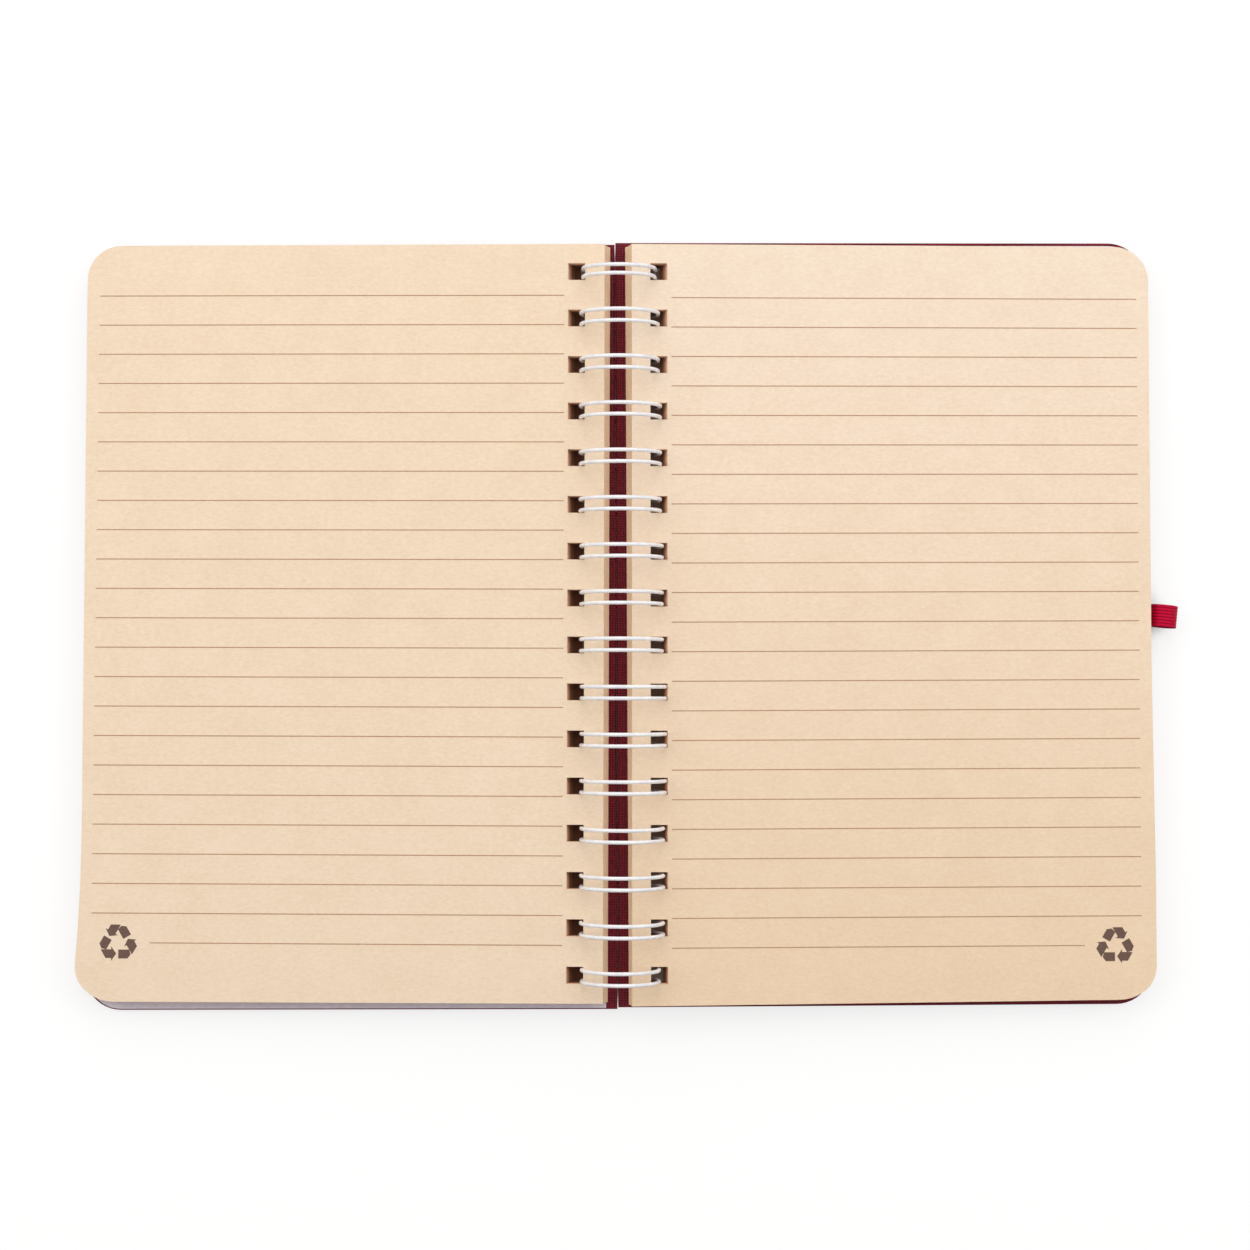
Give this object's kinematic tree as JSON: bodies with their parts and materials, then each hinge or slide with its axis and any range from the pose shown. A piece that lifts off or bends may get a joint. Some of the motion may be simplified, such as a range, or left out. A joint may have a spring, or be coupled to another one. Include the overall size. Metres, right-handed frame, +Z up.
{
  "type": "wire-bound notebook",
  "caption": "Open notebook: cloth-covered boards and ruled leaves on a twin-loop wire, with an elastic pen loop at the fore-edge.",
  "frame": {"origin": "on the table, under the middle of the wire", "axes": "+X to the right across the open pages, +Y to the head of the page, +Z up"},
  "size_m": [0.2989, 0.2107, 0.0238],
  "materials": {
    "white_wire": "white coating",
    "board": "plain grey board",
    "canvas": "woven book cloth",
    "lining_paper": "matt, with fibres",
    "leaves": "matt, ruled",
    "elastic": "ribbed elastic"
  },
  "bodies": {
    "wire": {"twin_loop_wire": "white_wire"},
    "front_cover": {"front_cover_board": "board", "front_cover_cloth": "canvas", "front_liner": "lining_paper"},
    "left_leaves": {"left_page_block": "leaves"},
    "back_cover": {"back_cover_board": "board", "back_cover_cloth": "canvas", "back_liner": "lining_paper", "pen_loop": "elastic"},
    "right_leaves": {"right_page_block": "leaves"}
  },
  "joints": [
    {"name": "front_cover_turn", "type": "hinge", "parent": "wire", "child": "front_cover", "pos_m": [0, 0, 0.01191], "axis": [0, 1, 0], "range_deg": [0, 182.7]},
    {"name": "left_leaves_turn", "type": "hinge", "parent": "front_cover", "child": "left_leaves", "pos_m": [0, 0, 0.01191], "axis": [0, 1, 0], "range_deg": [0, 176]},
    {"name": "back_cover_turn", "type": "hinge", "parent": "wire", "child": "back_cover", "pos_m": [0, 0, 0.01191], "axis": [0, -1, 0], "range_deg": [0, 182.7]},
    {"name": "right_leaves_turn", "type": "hinge", "parent": "back_cover", "child": "right_leaves", "pos_m": [0, 0, 0.01191], "axis": [0, -1, 0], "range_deg": [0, 176]}
  ]
}
